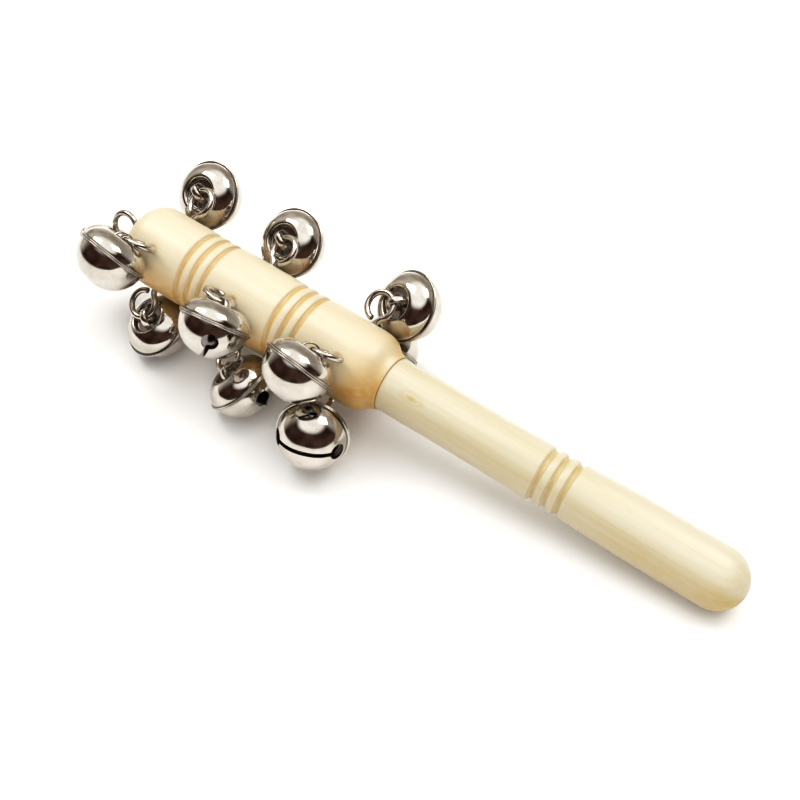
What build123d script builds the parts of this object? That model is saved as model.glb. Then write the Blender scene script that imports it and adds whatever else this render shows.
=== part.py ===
from build123d import *
import os
from math import asin, atan2, cos, degrees, pi, radians, sin, sqrt

os.makedirs("parts", exist_ok=True)

# ---------------------------------------------------------------- dimensions, mm
# stick: distances run along its axis from the bell end (0) to the grip end
STICK_LENGTH = 208.5
STICK_TILT = 6.3          # degrees, bell end lifted off the table by the bells under it
HEAD_LENGTH = 95.5
HEAD_R = 12.5
HEAD_TIP_ROUND = 7.5      # length of the rounded bell end
HEAD_TIP_FLAT_R = 3.0
HEAD_SHOULDER = 9.5       # length of the rounded shoulder at the handle
NECK_R = 8.3              # handle where it meets the head
WAIST_R = 8.2
GRIP_R = 8.95
GRIP_FULL_AT = 188.0      # the grip reaches its full radius here
TENON_R = 6.0
TENON_LENGTH = 19.0
SOCKET_LENGTH = 20.0

GROOVE_PITCH = 4.0
GROOVE_HALF = 0.9
GROOVE_DEPTH = 0.95
GROOVE_EASE = 0.28        # how far the lips of a groove fall below the full radius
HEAD_GROOVES = (29.2, 62.6)
HANDLE_GROOVES = (151.0,)

# screw eyes
WIRE_R = 0.95
RING_R = 4.3              # centreline radius of the ring
RING_HEIGHT = 5.5         # ring centre above the wood
RING_GAP = 29.0           # degrees left open beside the shank
SHANK_DEPTH = 5.8
SHANK_POINT = 1.6
TIP_SHANK_DEPTH = 9.0

# bell shells, in a frame with z along the bell towards its hanger, flange joint at z = 0
BELL_R = 11.0
SHEET = 0.45
WIRE_Z = 5.9              # centre of the ring wire inside the hanger
SLOT_W = 1.4
HOLE_R = 2.45
HOLE_PITCH = 31.0         # degrees below the flange plane
STRIP_W = 2.0
STRIP_T = 0.5
PELLET_R = 3.0
PELLET_REACH = 6.4        # furthest the pellet centre goes from the bell centre
PELLET_TOP = -0.45        # highest pellet centre, under the recessed top

# where each screw eye sits: distance along the stick, angle round it from the top
# (positive away from the front), yaw of the ring about its shank and offset of the
# ring centre from the shank; then how the bell hangs from it: place on the ring,
# swing across the ring, and turn of the bell's slot about its own axis
BELLS = [
    # name      along  round   yaw    offset place   swing  slot
    ("bell_01", 13.73, -43.04, 6.91, -1.10, -54.55, 73.10, 90.0),
    ("bell_02", 44.55, -47.68, -7.15, -1.10, 53.45, 73.03, 248.0),
    ("bell_03", 81.62, -41.56, 9.18, -0.96, -55.53, 73.10, 258.0),
    ("bell_04", 13.98, 52.19, -20.30, -0.71, -58.53, -73.05, 30.0),
    ("bell_05", 44.40, 55.31, -22.98, 0.98, -55.03, -73.06, 60.0),
    ("bell_06", 82.23, 54.15, -11.32, -1.66, 49.57, -73.00, 0.0),
    ("bell_07", 13.83, -131.17, 6.50, -1.49, 46.05, 73.05, 45.0),
    ("bell_08", 45.40, -127.03, 31.98, 2.79, 41.42, 65.05, 328.0),
    ("bell_09", 81.78, -134.18, 72.29, 1.59, 64.82, 1.42, 74.0),
    ("bell_10", 14.00, 127.39, -2.52, -0.61, 5.72, -71.41, 20.0),
    ("bell_11", 44.50, 133.68, 25.65, -0.65, -53.34, -48.62, 70.0),
    ("bell_12", 82.00, 139.33, -22.16, -2.75, 52.52, 72.78, 50.0),
]
TIP_BELL = ("bell_13", 21.75, 0.00, -75.31, 21.07, 10.0)   # name, yaw, offset, place, swing, slot

# moves everything so that the finished object stands on z = 0, centred in plan
ORIGIN_SHIFT = (104.331, 0.778, 0.195)


# ---------------------------------------------------------------- placing
def vadd(*vs):
    return tuple(sum(c) for c in zip(*vs))


def vmul(v, k):
    return tuple(c * k for c in v)


def vdot(a, b):
    return sum(x * y for x, y in zip(a, b))


def vcross(a, b):
    return (a[1] * b[2] - a[2] * b[1], a[2] * b[0] - a[0] * b[2], a[0] * b[1] - a[1] * b[0])


def vunit(v):
    return vmul(v, 1 / sqrt(vdot(v, v)))


TILT = radians(STICK_TILT)
AXIS = (cos(TILT), 0.0, -sin(TILT))
UP = (sin(TILT), 0.0, cos(TILT))
FAR = (0.0, 1.0, 0.0)
# the grip end rests on the table, and the plan origin is first put under its centre
TIP = vadd(vmul(AXIS, -(STICK_LENGTH - GRIP_R)), (0.0, 0.0, GRIP_R), ORIGIN_SHIFT)


def on_axis(s):
    return vadd(TIP, vmul(AXIS, s))


def outward(angle):
    return vadd(vmul(UP, cos(angle)), vmul(FAR, sin(angle)))


def around(angle):
    return vadd(vmul(UP, -sin(angle)), vmul(FAR, cos(angle)))


def eye_frame(along, round_deg, yaw_deg, offset, tip=False):
    """Shank foot, ring centre, direction out of the wood and direction across the ring."""
    yaw = radians(yaw_deg)
    if tip:
        out = vmul(AXIS, -1)
        across = vadd(vmul(UP, cos(yaw)), vmul(FAR, sin(yaw)))
        foot = on_axis(0)
    else:
        th = radians(round_deg)
        out = outward(th)
        across = vadd(vmul(AXIS, cos(yaw)), vmul(around(th), sin(yaw)))
        foot = vadd(on_axis(along), vmul(out, HEAD_R))
    centre = vadd(foot, vmul(out, RING_HEIGHT), vmul(across, offset))
    return foot, centre, out, across


def bell_frame(eye, place_deg, swing_deg):
    """Bell centre, its z direction (to the hanger), its x direction (along the wire) and
    the point of the wire that it hangs from."""
    foot, centre, out, across = eye
    p, w = radians(place_deg), radians(swing_deg)
    away = vadd(vmul(out, cos(p)), vmul(across, sin(p)))
    along = vadd(vmul(out, -sin(p)), vmul(across, cos(p)))
    normal = vcross(along, away)
    hold = vadd(centre, vmul(away, RING_R))
    down = vadd(vmul(away, cos(w)), vmul(normal, sin(w)))
    return vadd(hold, vmul(down, WIRE_Z)), vmul(down, -1), along, hold


def pellet_travel(z_dir, x_dir):
    """Lowest place of the pellet in the bell frame, and the place it can fly to."""
    y_dir = vcross(z_dir, x_dir)
    g = (-x_dir[2], -y_dir[2], -z_dir[2])   # straight down, in the bell frame

    def furthest(d):
        if PELLET_REACH * d[2] <= PELLET_TOP:
            return vmul(d, PELLET_REACH)
        flat = sqrt(d[0] ** 2 + d[1] ** 2)
        r = sqrt(PELLET_REACH ** 2 - PELLET_TOP ** 2)
        if flat < 0.05:
            return (0.0, 0.0, PELLET_TOP)
        r = min(r, PELLET_REACH * flat * 2)
        return (d[0] / flat * r, d[1] / flat * r, PELLET_TOP)

    return furthest(g), furthest(vmul(g, -1))


PLACED = []     # name, eye, bell centre, z, x, hold, slot
for name, along, rnd, yaw, off, place, swing, slot in BELLS:
    eye = eye_frame(along, rnd, yaw, off)
    PLACED.append((name, eye) + bell_frame(eye, place, swing) + (slot,))
name, yaw, off, place, swing, slot = TIP_BELL
eye = eye_frame(0, 0, yaw, off, tip=True)
PLACED.append((name, eye) + bell_frame(eye, place, swing) + (slot,))
# ---------------------------------------------------------------- solids


def groove_edges(centres, radius):
    """Profile edges for grooves at these places with round beads between them."""
    out = []
    lip = radius - GROOVE_EASE
    ease = 0.8
    first = centres[0] - GROOVE_HALF
    out.append(ThreePointArc((first - ease, radius), (first - ease * 0.45, radius - GROOVE_EASE * 0.28), (first, lip)))
    for i, c in enumerate(centres):
        out.append(ThreePointArc((c - GROOVE_HALF, lip), (c, radius - GROOVE_DEPTH), (c + GROOVE_HALF, lip)))
        if i < len(centres) - 1:
            n = centres[i + 1]
            out.append(ThreePointArc((c + GROOVE_HALF, lip), ((c + n) / 2, radius), (n - GROOVE_HALF, lip)))
    last = centres[-1] + GROOVE_HALF
    out.append(ThreePointArc((last, lip), (last + ease * 0.55, radius - GROOVE_EASE * 0.28), (last + ease, radius)))
    return out, first - ease, last + ease


def groups(centre):
    return (centre - GROOVE_PITCH, centre, centre + GROOVE_PITCH)


def turned(edges):
    """A solid of revolution about X from profile edges in the XY plane."""
    return revolve(make_face(Wire(edges)), Axis.X, 360)


# head: rounded bell end, two groups of grooves, rounded shoulder, blind socket
e = []
e.append(Line((0, 0), (0, HEAD_TIP_FLAT_R)))
e.append(Spline((0, HEAD_TIP_FLAT_R), (1.35, 7.6), (4.0, 11.1), (HEAD_TIP_ROUND, HEAD_R), tangents=((0.12, 1), (1, 0))))
x = HEAD_TIP_ROUND
for g in HEAD_GROOVES:
    ge, a0, a1 = groove_edges(groups(g), HEAD_R)
    e.append(Line((x, HEAD_R), (a0, HEAD_R)))
    e += ge
    x = a1
sh = HEAD_LENGTH - HEAD_SHOULDER
e.append(Line((x, HEAD_R), (sh, HEAD_R)))
e.append(Spline((sh, HEAD_R), (sh + 5.2, HEAD_R - 1.25), (HEAD_LENGTH - 1.0, HEAD_R - 3.5), (HEAD_LENGTH, NECK_R + 0.15), tangents=((1, 0), (0.1, -1))))
e.append(Line((HEAD_LENGTH, NECK_R + 0.15), (HEAD_LENGTH, TENON_R)))
e.append(Line((HEAD_LENGTH, TENON_R), (HEAD_LENGTH - SOCKET_LENGTH, TENON_R)))
e.append(Line((HEAD_LENGTH - SOCKET_LENGTH, TENON_R), (HEAD_LENGTH - SOCKET_LENGTH, 0)))
e.append(Line((HEAD_LENGTH - SOCKET_LENGTH, 0), (0, 0)))
head = turned(e)

# handle: tenon, neck, grooves, swelling grip with a round end
hg, h0, h1 = groove_edges(groups(HANDLE_GROOVES[0]), WAIST_R + 0.2)
t0 = HEAD_LENGTH - TENON_LENGTH
e = [
    Line((t0, 0), (t0, TENON_R - 0.6)),
    Line((t0, TENON_R - 0.6), (t0 + 0.8, TENON_R)),
    Line((t0 + 0.8, TENON_R), (HEAD_LENGTH, TENON_R)),
    Line((HEAD_LENGTH, TENON_R), (HEAD_LENGTH, NECK_R)),
    Spline((HEAD_LENGTH, NECK_R), (122, WAIST_R), (h0, WAIST_R + 0.2), tangents=((1, -0.008), (1, 0.008))),
]
e += hg
end_s = STICK_LENGTH - GRIP_R
e += [
    Spline((h1, WAIST_R + 0.2), (168, WAIST_R + 0.5), (GRIP_FULL_AT, GRIP_R - 0.03), (end_s, GRIP_R), tangents=((1, 0.012), (1, 0.0))),
    ThreePointArc((end_s, GRIP_R), (end_s + GRIP_R * sin(pi / 4), GRIP_R * cos(pi / 4)), (STICK_LENGTH, 0)),
    Line((STICK_LENGTH, 0), (t0, 0)),
]
handle = turned(e)

# stick frame: local x along the axis, local z up across it
stick_plane = Plane(origin=TIP, x_dir=AXIS, z_dir=UP)
head = stick_plane.location * head
handle = stick_plane.location * handle


def eye_solid(eye, offset, depth):
    """One screw eye: an open ring of round wire on a straight pointed shank."""
    foot, centre, out, across = eye
    # local x across the ring, local y out of the wood
    pl = Plane(origin=centre, x_dir=across, z_dir=vcross(across, out))
    drop = sqrt(RING_R ** 2 - offset ** 2)
    start = degrees(atan2(-drop, -offset))
    turn = -(360 - RING_GAP) if offset >= 0 else (360 - RING_GAP)
    path = CenterArc((0, 0), RING_R, start, turn)
    sec = Plane(origin=path @ 0, z_dir=path % 0) * Circle(WIRE_R)
    ring = sweep(sec, path=path)
    low = -RING_HEIGHT - depth
    shank = Pos(-offset, (low + SHANK_POINT - drop) / 2, 0) * Rot(90, 0, 0) * Cylinder(WIRE_R, -drop - low - SHANK_POINT)
    point = Pos(-offset, low + SHANK_POINT / 2, 0) * Rot(90, 0, 0) * Cone(WIRE_R, 0.2, SHANK_POINT)
    joint = Pos(-offset, -drop, 0) * Sphere(WIRE_R)
    return pl.location * (ring + shank + joint + point)


def pilot(eye, offset, depth):
    """The hole that a shank fills, cut from the wood."""
    foot, centre, out, across = eye
    pl = Plane(origin=centre, x_dir=across, z_dir=vcross(across, out))
    low = -RING_HEIGHT - depth
    body = Pos(-offset, (low + SHANK_POINT - 1) / 2, 0) * Rot(90, 0, 0) * Cylinder(WIRE_R, -1 - low - SHANK_POINT)
    point = Pos(-offset, low + SHANK_POINT / 2, 0) * Rot(90, 0, 0) * Cone(WIRE_R, 0.2, SHANK_POINT)
    return pl.location * (body + point)


eyes = []
for row, placed in zip(BELLS, PLACED):
    eye, off = placed[1], row[4]
    eyes.append(eye_solid(eye, off, SHANK_DEPTH))
    head -= pilot(eye, off, SHANK_DEPTH)
tip_eye = eye_solid(PLACED[-1][1], TIP_BELL[2], TIP_SHANK_DEPTH)
head -= pilot(PLACED[-1][1], TIP_BELL[2], TIP_SHANK_DEPTH)

# bell shells, profiles in the XZ plane (radius, height)
o = [(10.30, 0.45), (10.05, 1.65), (9.25, 3.10), (7.90, 4.40), (6.45, 5.28), (5.55, 5.55)]
i = [(5.62, 5.08), (6.30, 4.86), (7.64, 4.00), (8.87, 2.80), (9.60, 1.50), (9.85, 0.0)]
e = [
    Spline(*o, tangents=((0.02, 1), (-1, 0.12))),
    ThreePointArc(o[-1], (5.08, 5.42), (4.85, 4.98)),
    Line((4.85, 4.98), (4.75, 4.35)),
    ThreePointArc((4.75, 4.35), (4.60, 4.03), (4.28, 3.90)),
    Line((4.28, 3.90), (0, 3.90)),
    Line((0, 3.90), (0, 3.45)),
    Line((0, 3.45), (4.45, 3.45)),
    ThreePointArc((4.45, 3.45), (4.97, 3.68), (5.20, 4.20)),
    Line((5.20, 4.20), (5.28, 4.80)),
    ThreePointArc((5.28, 4.80), (5.40, 5.02), i[0]),
    Spline(*i, tangents=((1, -0.12), (-0.02, -1))),
    Line((9.85, 0), (10.78, 0)),
    ThreePointArc((10.78, 0), (BELL_R, 0.22), (10.78, 0.45)),
    Line((10.78, 0.45), (10.30, 0.45)),
]
dome = revolve(Plane.XZ * make_face(Wire(e)), Axis.Z, 360)
for side in (1, -1):
    dome -= Pos(0, side * 3.45, 3.6) * Box(STRIP_W + 0.06, STRIP_T + 0.12, 1.0)

o = [(10.28, -0.45), (10.15, -2.10), (9.50, -4.45), (8.10, -6.70), (5.90, -8.65), (3.10, -9.85), (0, -10.20)]
i = [(0, -9.75), (3.00, -9.42), (5.68, -8.26), (7.75, -6.42), (9.08, -4.28), (9.72, -2.05), (9.85, 0)]
e = [
    Line((9.85, 0), (10.70, 0)),
    ThreePointArc((10.70, 0), (10.90, -0.22), (10.70, -0.45)),
    Line((10.70, -0.45), (10.28, -0.45)),
    Spline(*o, tangents=((0, -1), (-1, 0))),
    Line((0, -10.20), (0, -9.75)),
    Spline(*i, tangents=((1, 0), (0.02, 1))),
]
cup = revolve(Plane.XZ * make_face(Wire(e)), Axis.Z, 360)
hx = 8.75 * cos(0)
cup -= Pos(0, 0, -8.4) * Box(2 * 8.5, SLOT_W, 6.4)
for side in (0, 180):
    cup -= Rot(0, 0, side) * Pos(8.7, 0, -5.25) * Rot(0, 90 + HOLE_PITCH, 0) * Cylinder(HOLE_R, 4.4)

# hanger: a flat strip bent to an arch over the recess, its feet folded out under the floor
half = [(3.45, 3.60), (3.05, 5.30), (1.80, 7.08), (0.0, 7.55)]
pts = half + [(-y, z) for y, z in half[-2::-1]]
path = Wire([
    Line((4.60, 3.20), (3.85, 3.20)),
    ThreePointArc((3.85, 3.20), (3.57, 3.32), (3.45, 3.60)),
    Spline(*pts, tangents=((0, 1), (0, -1))),
    ThreePointArc((-3.45, 3.60), (-3.57, 3.32), (-3.85, 3.20)),
    Line((-3.85, 3.20), (-4.60, 3.20)),
])
strip_face = Plane(origin=(4.60, 3.20, 0), x_dir=(0, 0, 1), z_dir=(-1, 0, 0)) * Rectangle(STRIP_W, STRIP_T)
hanger = sweep(strip_face, path=path)
# the path was drawn in XY: turn it so that its x becomes y and its y becomes z
hanger = Location(Plane(origin=(0, 0, 0), x_dir=(0, 1, 0), z_dir=(1, 0, 0))) * hanger


def seat(o_, z_, x_):
    return Plane(origin=o_, x_dir=x_, z_dir=z_).location


def solids_of(shape):
    s = shape.solids()
    return s[0] if len(s) == 1 else Compound(children=list(s))


export_step(solids_of(head), "parts/head.step")
export_step(solids_of(handle), "parts/handle.step")
export_step(Compound(children=[solids_of(x) for x in eyes]), "parts/screw_eyes.step")
export_step(solids_of(tip_eye), "parts/tip_screw_eye.step")
for name, eye, o_, z_, x_, hold, slot in PLACED:
    loc = seat(o_, z_, x_)
    low, high = pellet_travel(z_, x_)
    export_step(solids_of(loc * dome), f"parts/{name}_dome.step")
    export_step(solids_of(loc * (Rot(0, 0, slot) * cup)), f"parts/{name}_cup.step")
    export_step(solids_of(loc * hanger), f"parts/{name}_hanger.step")
    export_step(solids_of(loc * (Pos(*low) * Sphere(PELLET_R))), f"parts/{name}_pellet.step")
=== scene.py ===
from math import acos, asin, atan2, cos, degrees, pi, radians, sin, sqrt

import bmesh
import bpy
import numpy as np
from mathutils import Matrix, Vector


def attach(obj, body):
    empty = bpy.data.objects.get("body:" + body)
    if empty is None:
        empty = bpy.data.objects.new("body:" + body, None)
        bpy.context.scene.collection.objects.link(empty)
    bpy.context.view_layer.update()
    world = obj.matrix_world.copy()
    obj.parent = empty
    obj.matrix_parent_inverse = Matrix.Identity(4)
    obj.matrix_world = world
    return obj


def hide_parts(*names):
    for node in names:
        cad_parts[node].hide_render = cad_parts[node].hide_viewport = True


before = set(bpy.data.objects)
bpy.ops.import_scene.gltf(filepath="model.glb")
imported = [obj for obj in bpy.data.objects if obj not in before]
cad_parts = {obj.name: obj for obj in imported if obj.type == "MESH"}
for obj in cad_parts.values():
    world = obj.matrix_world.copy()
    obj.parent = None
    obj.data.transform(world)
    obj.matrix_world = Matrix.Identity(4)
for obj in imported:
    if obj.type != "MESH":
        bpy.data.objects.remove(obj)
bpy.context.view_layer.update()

MM = 0.001

# ---------------------------------------------------------------- placing, as in the CAD
# the dimensions, mm
# stick: distances run along its axis from the bell end (0) to the grip end
STICK_LENGTH = 208.5
STICK_TILT = 6.3          # degrees, bell end lifted off the table by the bells under it
HEAD_LENGTH = 95.5
HEAD_R = 12.5
HEAD_TIP_ROUND = 7.5      # length of the rounded bell end
HEAD_TIP_FLAT_R = 3.0
HEAD_SHOULDER = 9.5       # length of the rounded shoulder at the handle
NECK_R = 8.3              # handle where it meets the head
WAIST_R = 8.2
GRIP_R = 8.95
GRIP_FULL_AT = 188.0      # the grip reaches its full radius here
TENON_R = 6.0
TENON_LENGTH = 19.0
SOCKET_LENGTH = 20.0

GROOVE_PITCH = 4.0
GROOVE_HALF = 0.9
GROOVE_DEPTH = 0.95
GROOVE_EASE = 0.28        # how far the lips of a groove fall below the full radius
HEAD_GROOVES = (29.2, 62.6)
HANDLE_GROOVES = (151.0,)

# screw eyes
WIRE_R = 0.95
RING_R = 4.3              # centreline radius of the ring
RING_HEIGHT = 5.5         # ring centre above the wood
RING_GAP = 29.0           # degrees left open beside the shank
SHANK_DEPTH = 5.8
SHANK_POINT = 1.6
TIP_SHANK_DEPTH = 9.0

# bell shells, in a frame with z along the bell towards its hanger, flange joint at z = 0
BELL_R = 11.0
SHEET = 0.45
WIRE_Z = 5.9              # centre of the ring wire inside the hanger
SLOT_W = 1.4
HOLE_R = 2.45
HOLE_PITCH = 31.0         # degrees below the flange plane
STRIP_W = 2.0
STRIP_T = 0.5
PELLET_R = 3.0
PELLET_REACH = 6.4        # furthest the pellet centre goes from the bell centre
PELLET_TOP = -0.45        # highest pellet centre, under the recessed top

# where each screw eye sits: distance along the stick, angle round it from the top
# (positive away from the front), yaw of the ring about its shank and offset of the
# ring centre from the shank; then how the bell hangs from it: place on the ring,
# swing across the ring, and turn of the bell's slot about its own axis
BELLS = [
    # name      along  round   yaw    offset place   swing  slot
    ("bell_01", 13.73, -43.04, 6.91, -1.10, -54.55, 73.10, 90.0),
    ("bell_02", 44.55, -47.68, -7.15, -1.10, 53.45, 73.03, 248.0),
    ("bell_03", 81.62, -41.56, 9.18, -0.96, -55.53, 73.10, 258.0),
    ("bell_04", 13.98, 52.19, -20.30, -0.71, -58.53, -73.05, 30.0),
    ("bell_05", 44.40, 55.31, -22.98, 0.98, -55.03, -73.06, 60.0),
    ("bell_06", 82.23, 54.15, -11.32, -1.66, 49.57, -73.00, 0.0),
    ("bell_07", 13.83, -131.17, 6.50, -1.49, 46.05, 73.05, 45.0),
    ("bell_08", 45.40, -127.03, 31.98, 2.79, 41.42, 65.05, 328.0),
    ("bell_09", 81.78, -134.18, 72.29, 1.59, 64.82, 1.42, 74.0),
    ("bell_10", 14.00, 127.39, -2.52, -0.61, 5.72, -71.41, 20.0),
    ("bell_11", 44.50, 133.68, 25.65, -0.65, -53.34, -48.62, 70.0),
    ("bell_12", 82.00, 139.33, -22.16, -2.75, 52.52, 72.78, 50.0),
]
TIP_BELL = ("bell_13", 21.75, 0.00, -75.31, 21.07, 10.0)   # name, yaw, offset, place, swing, slot

# moves everything so that the finished object stands on z = 0, centred in plan
ORIGIN_SHIFT = (104.331, 0.778, 0.195)


# ---------------------------------------------------------------- placing
def vadd(*vs):
    return tuple(sum(c) for c in zip(*vs))


def vmul(v, k):
    return tuple(c * k for c in v)


def vdot(a, b):
    return sum(x * y for x, y in zip(a, b))


def vcross(a, b):
    return (a[1] * b[2] - a[2] * b[1], a[2] * b[0] - a[0] * b[2], a[0] * b[1] - a[1] * b[0])


def vunit(v):
    return vmul(v, 1 / sqrt(vdot(v, v)))


TILT = radians(STICK_TILT)
AXIS = (cos(TILT), 0.0, -sin(TILT))
UP = (sin(TILT), 0.0, cos(TILT))
FAR = (0.0, 1.0, 0.0)
# the grip end rests on the table, and the plan origin is first put under its centre
TIP = vadd(vmul(AXIS, -(STICK_LENGTH - GRIP_R)), (0.0, 0.0, GRIP_R), ORIGIN_SHIFT)


def on_axis(s):
    return vadd(TIP, vmul(AXIS, s))


def outward(angle):
    return vadd(vmul(UP, cos(angle)), vmul(FAR, sin(angle)))


def around(angle):
    return vadd(vmul(UP, -sin(angle)), vmul(FAR, cos(angle)))


def eye_frame(along, round_deg, yaw_deg, offset, tip=False):
    """Shank foot, ring centre, direction out of the wood and direction across the ring."""
    yaw = radians(yaw_deg)
    if tip:
        out = vmul(AXIS, -1)
        across = vadd(vmul(UP, cos(yaw)), vmul(FAR, sin(yaw)))
        foot = on_axis(0)
    else:
        th = radians(round_deg)
        out = outward(th)
        across = vadd(vmul(AXIS, cos(yaw)), vmul(around(th), sin(yaw)))
        foot = vadd(on_axis(along), vmul(out, HEAD_R))
    centre = vadd(foot, vmul(out, RING_HEIGHT), vmul(across, offset))
    return foot, centre, out, across


def bell_frame(eye, place_deg, swing_deg):
    """Bell centre, its z direction (to the hanger), its x direction (along the wire) and
    the point of the wire that it hangs from."""
    foot, centre, out, across = eye
    p, w = radians(place_deg), radians(swing_deg)
    away = vadd(vmul(out, cos(p)), vmul(across, sin(p)))
    along = vadd(vmul(out, -sin(p)), vmul(across, cos(p)))
    normal = vcross(along, away)
    hold = vadd(centre, vmul(away, RING_R))
    down = vadd(vmul(away, cos(w)), vmul(normal, sin(w)))
    return vadd(hold, vmul(down, WIRE_Z)), vmul(down, -1), along, hold


def pellet_travel(z_dir, x_dir):
    """Lowest place of the pellet in the bell frame, and the place it can fly to."""
    y_dir = vcross(z_dir, x_dir)
    g = (-x_dir[2], -y_dir[2], -z_dir[2])   # straight down, in the bell frame

    def furthest(d):
        if PELLET_REACH * d[2] <= PELLET_TOP:
            return vmul(d, PELLET_REACH)
        flat = sqrt(d[0] ** 2 + d[1] ** 2)
        r = sqrt(PELLET_REACH ** 2 - PELLET_TOP ** 2)
        if flat < 0.05:
            return (0.0, 0.0, PELLET_TOP)
        r = min(r, PELLET_REACH * flat * 2)
        return (d[0] / flat * r, d[1] / flat * r, PELLET_TOP)

    return furthest(g), furthest(vmul(g, -1))


PLACED = []     # name, eye, bell centre, z, x, hold, slot
for name, along, rnd, yaw, off, place, swing, slot in BELLS:
    eye = eye_frame(along, rnd, yaw, off)
    PLACED.append((name, eye) + bell_frame(eye, place, swing) + (slot,))
name, yaw, off, place, swing, slot = TIP_BELL
eye = eye_frame(0, 0, yaw, off, tip=True)
PLACED.append((name, eye) + bell_frame(eye, place, swing) + (slot,))


# ---------------------------------------------------------------- small mesh tools
def cubic(pts, t0, t1, per=10):
    """Points on a smooth curve through pts, leaving along t0 and arriving along t1."""
    p = np.array(pts, float)
    n = len(p)
    h = np.linalg.norm(np.diff(p, axis=0), axis=1)
    m = np.zeros((n, n))
    rhs = np.zeros((n, p.shape[1]))
    m[0, 0] = m[-1, -1] = 1
    t0, t1 = np.array(t0, float), np.array(t1, float)
    rhs[0], rhs[-1] = t0 / np.linalg.norm(t0), t1 / np.linalg.norm(t1)
    for k in range(1, n - 1):
        m[k, k - 1] = h[k]
        m[k, k] = 2 * (h[k - 1] + h[k])
        m[k, k + 1] = h[k - 1]
        rhs[k] = 3 * (h[k] * (p[k] - p[k - 1]) / h[k - 1] + h[k - 1] * (p[k + 1] - p[k]) / h[k])
    d = np.linalg.solve(m, rhs)
    out = []
    for k in range(n - 1):
        for j in range(per):
            u = j / per
            a = 2 * u**3 - 3 * u**2 + 1
            b = u**3 - 2 * u**2 + u
            c = -2 * u**3 + 3 * u**2
            e = u**3 - u**2
            out.append(a * p[k] + b * h[k] * d[k] + c * p[k + 1] + e * h[k] * d[k + 1])
    out.append(p[-1])
    return [tuple(q) for q in out]


def arc3(a, b, c, n=8):
    """Points on the circular arc from a through b to c."""
    ax, ay = a
    bx, by = b
    cx, cy = c
    d = 2 * (ax * (by - cy) + bx * (cy - ay) + cx * (ay - by))
    ux = ((ax * ax + ay * ay) * (by - cy) + (bx * bx + by * by) * (cy - ay) + (cx * cx + cy * cy) * (ay - by)) / d
    uy = ((ax * ax + ay * ay) * (cx - bx) + (bx * bx + by * by) * (ax - cx) + (cx * cx + cy * cy) * (bx - ax)) / d
    r = sqrt((ax - ux) ** 2 + (ay - uy) ** 2)
    t0, t1, t2 = (atan2(q[1] - uy, q[0] - ux) for q in (a, b, c))
    while t1 - t0 > pi:
        t1 -= 2 * pi
    while t1 - t0 < -pi:
        t1 += 2 * pi
    while t2 - t1 > pi:
        t2 -= 2 * pi
    while t2 - t1 < -pi:
        t2 += 2 * pi
    return [(ux + r * cos(t0 + (t2 - t0) * k / n), uy + r * sin(t0 + (t2 - t0) * k / n)) for k in range(n + 1)]


def chain(*parts):
    out = []
    for part in parts:
        for q in part:
            if not out or (abs(out[-1][0] - q[0]) > 1e-6 or abs(out[-1][1] - q[1]) > 1e-6):
                out.append(tuple(q))
    return out


def lathe(profile, segs, closed=False):
    """Vertices and faces of a profile (radius, height) turned about Z."""
    verts, rows = [], []
    for r, z in profile:
        if r < 1e-6:
            rows.append([len(verts)] * segs)
            verts.append((0.0, 0.0, z))
        else:
            rows.append(list(range(len(verts), len(verts) + segs)))
            verts += [(r * cos(2 * pi * k / segs), r * sin(2 * pi * k / segs), z) for k in range(segs)]
    faces = []
    n = len(rows)
    for i in range(n if closed else n - 1):
        a, b = rows[i], rows[(i + 1) % n]
        for k in range(segs):
            j = (k + 1) % segs
            f = []
            for v in (a[k], a[j], b[j], b[k]):
                if v not in f:
                    f.append(v)
            if len(f) > 2:
                faces.append(f)
    return verts, faces


def mesh_from(name, verts, faces, sharp=35):
    me = bpy.data.meshes.new(name)
    me.from_pydata([tuple(float(c) for c in v) for v in verts], [], faces)
    me.update()
    bm = bmesh.new()
    bm.from_mesh(me)
    bmesh.ops.recalc_face_normals(bm, faces=bm.faces)
    bm.to_mesh(me)
    bm.free()
    for p in me.polygons:
        p.use_smooth = True
    me.set_sharp_from_angle(angle=radians(sharp))
    return me


def tube(points, radius, sides=20, tip=None):
    """A round tube along points, closed at both ends; tip is not used."""
    pts = [Vector(p) for p in points]
    n = len(pts)
    tang = [((pts[min(k + 1, n - 1)] - pts[max(k - 1, 0)]).normalized()) for k in range(n)]
    up = Vector((0, 0, 1)) if abs(tang[0].z) < 0.9 else Vector((1, 0, 0))
    side = tang[0].cross(up).normalized()
    verts, faces = [], []
    ring0 = None
    rr = [radius] * n

    def add(p, t, s, r):
        o = t.cross(s)
        base = len(verts)
        for k in range(sides):
            a = 2 * pi * k / sides
            verts.append(p + s * (r * cos(a)) + o * (r * sin(a)))
        return base

    rows = []
    for k in range(n):
        if k:
            side = (side - tang[k] * side.dot(tang[k])).normalized()
        if k == 0 or k == n - 1:
            c = 0.13
            sgn = -1 if k == 0 else 1
            if k == 0:
                rows.append(add(pts[k], tang[k], side, rr[k] * (1 - c * 1.3)))
                rows.append(add(pts[k] + tang[k] * radius * c, tang[k], side, rr[k]))
            else:
                rows.append(add(pts[k] - tang[k] * radius * c, tang[k], side, rr[k]))
                rows.append(add(pts[k], tang[k], side, rr[k] * (1 - c * 1.3)))
        else:
            rows.append(add(pts[k], tang[k], side, rr[k]))
    for a, b in zip(rows, rows[1:]):
        for k in range(sides):
            j = (k + 1) % sides
            faces.append([a + k, a + j, b + j, b + k])
    faces.append(list(range(rows[0], rows[0] + sides))[::-1])
    faces.append(list(range(rows[-1], rows[-1] + sides)))
    return verts, faces


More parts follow.
